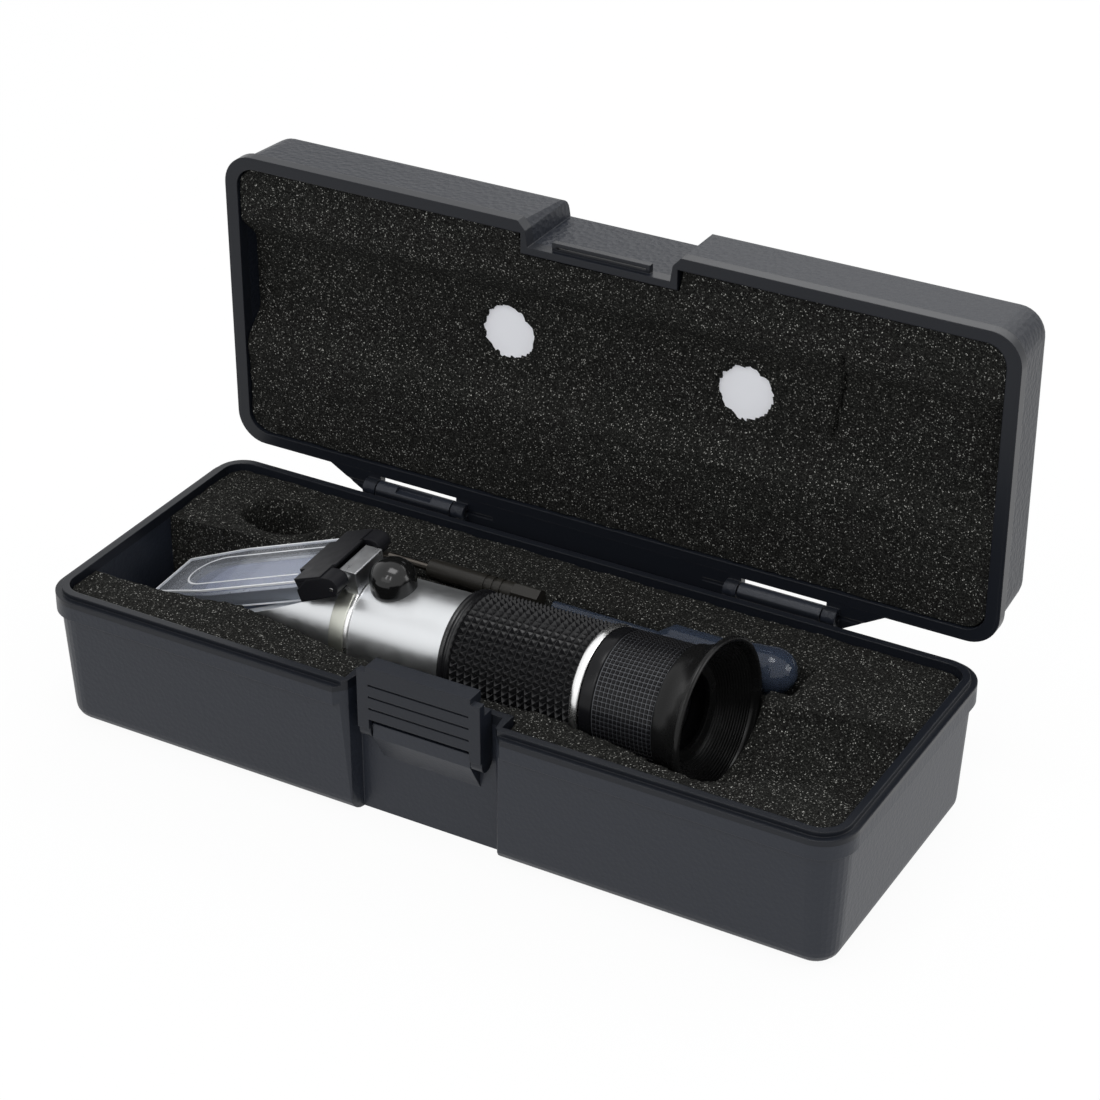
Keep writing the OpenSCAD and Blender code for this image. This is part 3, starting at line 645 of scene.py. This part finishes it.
# Eyecup: a flared tube with a rolled rim and fine rings inside
inside_rings = [(58.6 - 0.44 * k + d, 17.0 - 0.46 * k + e)
                for k in range(13) for d, e in ((0, 0), (-0.16, -0.3), (-0.34, -0.34))]
cup_profile = ([(51.5, 8.9), (51.5, 15.2), (52.0, 15.45), (53.5, 15.6), (55.5, 16.2),
                (57.3, 17.2), (58.5, 18.15), (59.0, 18.5)]
               + arc(59.65, 18.45, 0.75, 0.75, 150, -80, 14) + [(59.4, 17.3), (58.9, 17.1)])
cup = turned(cup_profile + inside_rings + [(53.0, 11.0), (52.6, 8.9)], 192)
piece("eyecup_soft", *cup, cup_rubber, TUBE, "eyepiece", ["eyecup"])

# Bright rings, with round edges
ring_soft = turned([(30.32, 12.45), (30.32, 14.7), (30.6, 14.98), (31.0, 15.12), (31.4, 15.15),
                    (31.8, 15.12), (32.2, 14.98), (32.42, 14.7), (32.42, 12.45)], 192)
piece("bright_ring_soft", *ring_soft, bright, TUBE, "instrument", ["bright_ring"])
collar_soft = turned([(-35.8, 13.0), (-35.8, 13.25), (-35.6, 13.35), (-31.9, 13.35),
                      (-31.75, 13.2), (-31.6, 13.02)], 192)
piece("collar_soft", *collar_soft, collar, TUBE, "instrument", ["collar_ring"])
edge_ring = turned([(-31.7, 13.0), (-31.7, 13.3), (-31.5, 13.48), (-31.0, 13.5), (-30.7, 13.42),
                    (-30.5, 13.02)], 192)
piece("collar_edge", *edge_ring, bright, TUBE, "instrument", slot="bright")

# Domed cap over the screw, turned about the tube's upright
screw_s = -24.4
CAP = TUBE @ Matrix.Translation((screw_s, 0, 0)) @ Matrix.Rotation(-math.pi / 2, 4, "Y")
cap_low = 11.6
cap_top = 20.0
cap_r = 5.5
dome_h = 4.4
dome = [(cap_top - dome_h + dome_h * math.sin(math.radians(a)), cap_r * math.cos(math.radians(a)))
        for a in range(0, 86, 5)]
cap_points = [(cap_low, 0.6), (cap_low, cap_r - 0.5), (12.6, cap_r - 0.05), (13.2, cap_r)]
cap_soft = turned(cap_points + dome + [(cap_top, 0.02)])
piece("cap_soft", *cap_soft, gloss_black, CAP, "cap", ["screw_cap"])

# Prism face: a pale metal bezel round a bluish window with a round lower end
bezel_half = 7.8
window_half = 6.4
window_end = -44
window_round = 7.5
round_at = window_end + window_round
bezel_low = -2.46
round_end = arc(round_at, 0, window_round, window_half, 90, 270)
window_shape = round_end + [(-5, -window_half), (-5, window_half)]
# Crescent at the window's round end, coloured darker as a painted reflection.
reflection_shape = round_end + arc(-34, 0, 4.5, window_half, 90, 270)[::-1]
bezel = [(-plate_l + 4.2, 1.9 - bezel_half), (-plate_l + 18.5, -bezel_half), (-2, -bezel_half),
         (-2, bezel_half), (-plate_l + 18.5, bezel_half), (-plate_l + 4.2, bezel_half - 1.9)]
piece("prism_bezel", *slab(bezel, bezel_low - 0.03, bezel_low), bezel_metal, SLOPE,
      "instrument", slot="satin")
piece("prism_window", *slab(window_shape, bezel_low - 0.01, bezel_low + 0.04), window_blue,
      SLOPE, "instrument", slot="prism")
# The painted reflection, laid over the window.
piece("prism_window_reflection", *slab(reflection_shape, bezel_low, bezel_low + 0.07), window_painted_reflection,
      SLOPE, "instrument", slot="prism")

# Bright polished edge round the plate
tip_half = plate_half - 2.2
outline = [(0, -plate_half), (-0.64 * plate_l, -plate_half), (-plate_l, -tip_half),
           (-plate_l, tip_half), (-0.64 * plate_l, plate_half), (0, plate_half)]


def strip(name, path, width, low, high, finish, body):
    """Flat strip of that width just inside a path of points in X and Y."""
    for number, ((x0, y0), (x1, y1)) in enumerate(zip(path, path[1:])):
        long = math.hypot(x1 - x0, y1 - y0)
        nx, ny = -(y1 - y0) / long * width, (x1 - x0) / long * width
        corners = [(x0, y0), (x1, y1), (x1 + nx, y1 + ny), (x0 + nx, y0 + ny)]
        piece(f"{name}_{number}", *slab(corners, low, high), finish, SLOPE, body, slot="acrylic")


line_w = 0.45
line_outer = ([(-3, -window_half), (round_at, -window_half)]
              + arc(round_at, 0, window_round, window_half, 270, 90, 20)
              + [(-3, window_half)])
line_inner = [(x + (line_w if x < round_at - 0.1 else 0), y * (1 - line_w / window_half))
              for x, y in line_outer]
piece("window_line", *slab(line_outer + line_inner[::-1], -0.05, 0.03), acrylic_edge, SLOPE,
      "daylight_plate", slot="acrylic")
strip("plate_edge", outline[::-1], 0.5, -0.45, 0.02, acrylic_edge, "daylight_plate")
near_skirt = [(-0.8 * plate_l, 1.4 - plate_half), outline[1], outline[0]]
strip("skirt_edge", near_skirt, 0.35, -5.22, -4.95, acrylic_edge, "daylight_plate")

# Black yoke: two arms with round ends, a bridge over the plate's end and a thin lip on it
pin_s = -33.9
pin_k = 16.3
block_half = 5.45
arm_in = block_half + 0.9
arm_out = 10.9
arm_shape = ([(-43.4, 10.3), (-44.2, 13.4), (-41.2, 17.0), (-36.1, 19.0)]
             + arc(-34.4, 16.9, 2.25, 2.25, 95, -50, 14) + [(-32.8, 14.9)])
bridge_end = 8.3
lip_end = 9.2
bridge_top = 1.15


def lying(points):
    """Turns a slab of (along, up) and a thickness into (along, across, up)."""
    return [(x, z, y) for x, y, z in points]


for number, (low, high) in enumerate(((-arm_out, -arm_in), (arm_in, arm_out))):
    arm_points, arm_faces = slab(arm_shape, low, high)
    nodes = ["plate_yoke"] if number == 0 else []
    piece(f"yoke_arm_{number}", lying(arm_points), arm_faces, yoke_black, TUBE,
          "daylight_plate", nodes, slot="black_plastic")
bridge = [(0.05, 0.15 - arm_out), (bridge_end, 0.15 - arm_out), (bridge_end, arm_out - 0.15),
          (0.05, arm_out - 0.15), (0.05, 6.2), (-1.8, 6.2), (-1.8, -6.2), (0.05, -6.2)]
piece("yoke_bridge", *slab(bridge, 0.05, bridge_top), yoke_black, SLOPE, "daylight_plate",
      slot="black_plastic")
lip = [(bridge_end - 0.1, -block_half), (lip_end, -block_half), (lip_end, block_half),
       (bridge_end - 0.1, block_half)]
piece("yoke_lip", *slab(lip, bridge_top - 0.25, bridge_top), yoke_black, SLOPE,
      "daylight_plate", slot="black_plastic")
under = [(0.05, 0.15 - arm_out), (6.3, 0.15 - arm_out), (6.3, arm_out - 0.15),
         (0.05, arm_out - 0.15)]
piece("yoke_under", *slab(under, -2.1, 0.1), yoke_black, SLOPE, "daylight_plate",
      slot="black_plastic")
dot = [(pin_s + x, pin_k + y) for x, y in arc(0, 0, 0.5, 0.5, 0, 345, 23)]
dot_points, dot_faces = slab(dot, -arm_out - 0.06, 0.5 - arm_out)
piece("yoke_pin_end", lying(dot_points), dot_faces, steel, TUBE, "daylight_plate",
      slot="steel")

# Metal block between the arms, with crisp edges, standing on the tube
block_shape = [(-35.4, 16.3), (-35.4, 18.0), (-35.2, 18.2), (-30.9, 18.2), (-30.7, 18.0),
               (-30.7, 12), (-33.9, 12), (-34.9, 14.4)]
block_points, block_faces = slab(block_shape, -block_half, block_half)
piece("block_soft", lying(block_points), block_faces, block_metal, TUBE, "instrument",
      ["hinge_block"])

# Floor, light and the white behind the object
floor_half = 3.0
floor_mesh = bpy.data.meshes.new("floor")
floor_mesh.from_pydata([(-floor_half, -floor_half, 0), (floor_half, -floor_half, 0),
                        (floor_half, floor_half, 0), (-floor_half, floor_half, 0)],
                       [], [(0, 1, 2, 3)])
floor = bpy.data.objects.new("floor", floor_mesh)
bpy.context.scene.collection.objects.link(floor)
floor_nodes = Nodes("floor")
floor_nodes.shader.inputs["Base Color"].default_value = (0.85, 0.85, 0.85, 1)
floor_nodes.put(Roughness=1.0)
glow = floor_nodes.add("ShaderNodeEmission")
glow.inputs["Strength"].default_value = 1.0
rays = floor_nodes.add("ShaderNodeLightPath")
seen = floor_nodes.math("MAXIMUM", rays.outputs["Is Camera Ray"], rays.outputs["Is Glossy Ray"])
mixed = floor_nodes.add("ShaderNodeMixShader")
floor_nodes.join(floor_nodes.math("MULTIPLY", seen, 0.94), mixed.inputs["Fac"])
floor_nodes.join(floor_nodes.shader.outputs["BSDF"], mixed.inputs[1])
floor_nodes.join(glow.outputs["Emission"], mixed.inputs[2])
surface = floor_nodes.tree.nodes["Material Output"].inputs["Surface"]
floor_nodes.join(mixed.outputs["Shader"], surface)
floor_mesh.materials.append(floor_nodes.material)

world = bpy.data.worlds.new("world")
bpy.context.scene.world = world
world.use_nodes = True
tree = world.node_tree
path = tree.nodes.new("ShaderNodeLightPath")
white_share = path.outputs["Is Camera Ray"]
for ray in ("Is Glossy Ray", "Is Transmission Ray"):
    either = tree.nodes.new("ShaderNodeMath")
    either.operation = "MAXIMUM"
    tree.links.new(white_share, either.inputs[0])
    tree.links.new(path.outputs[ray], either.inputs[1])
    white_share = either.outputs[0]
dim = tree.nodes["Background"]
dim.inputs["Color"].default_value = (0.95, 0.97, 1.0, 1)
dim.inputs["Strength"].default_value = 0.62
white = tree.nodes.new("ShaderNodeBackground")
white.inputs["Color"].default_value = (1, 1, 1, 1)
white.inputs["Strength"].default_value = 1.0
blend = tree.nodes.new("ShaderNodeMixShader")
tree.links.new(white_share, blend.inputs["Fac"])
tree.links.new(dim.outputs["Background"], blend.inputs[1])
tree.links.new(white.outputs["Background"], blend.inputs[2])
tree.links.new(blend.outputs["Shader"], tree.nodes["World Output"].inputs["Surface"])


def soft_light(name, place, aim, size, watts):
    """Square soft lamp at a place, in metres, turned towards aim."""
    data = bpy.data.lights.new(name, "AREA")
    data.shape = "RECTANGLE"
    data.size = size[0]
    data.size_y = size[1]
    data.energy = watts
    lamp = bpy.data.objects.new(name, data)
    lamp.location = place
    away = Vector(place) - Vector(aim)
    lamp.rotation_euler = away.to_track_quat("Z", "Y").to_euler()
    bpy.context.scene.collection.objects.link(lamp)


middle = (0, 0, 0.03)
soft_light("top", (0.0, -0.1, 1.1), middle, (0.6, 0.4), 4)
soft_light("behind", (0.1, 1.0, 0.9), middle, (1.4, 0.6), 6)
soft_light("right", (1.3, 0.5, 0.5), middle, (0.6, 0.7), 4)
soft_light("front", (-0.2, -1.3, 0.8), middle, (1.2, 0.6), 1.8)
soft_light("front_left", (-0.16, -0.75, 0.85), middle, (0.08, 0.4), 0.8)
soft_light("front_right", (0.2, -0.8, 0.85), middle, (0.08, 0.4), 0.8)
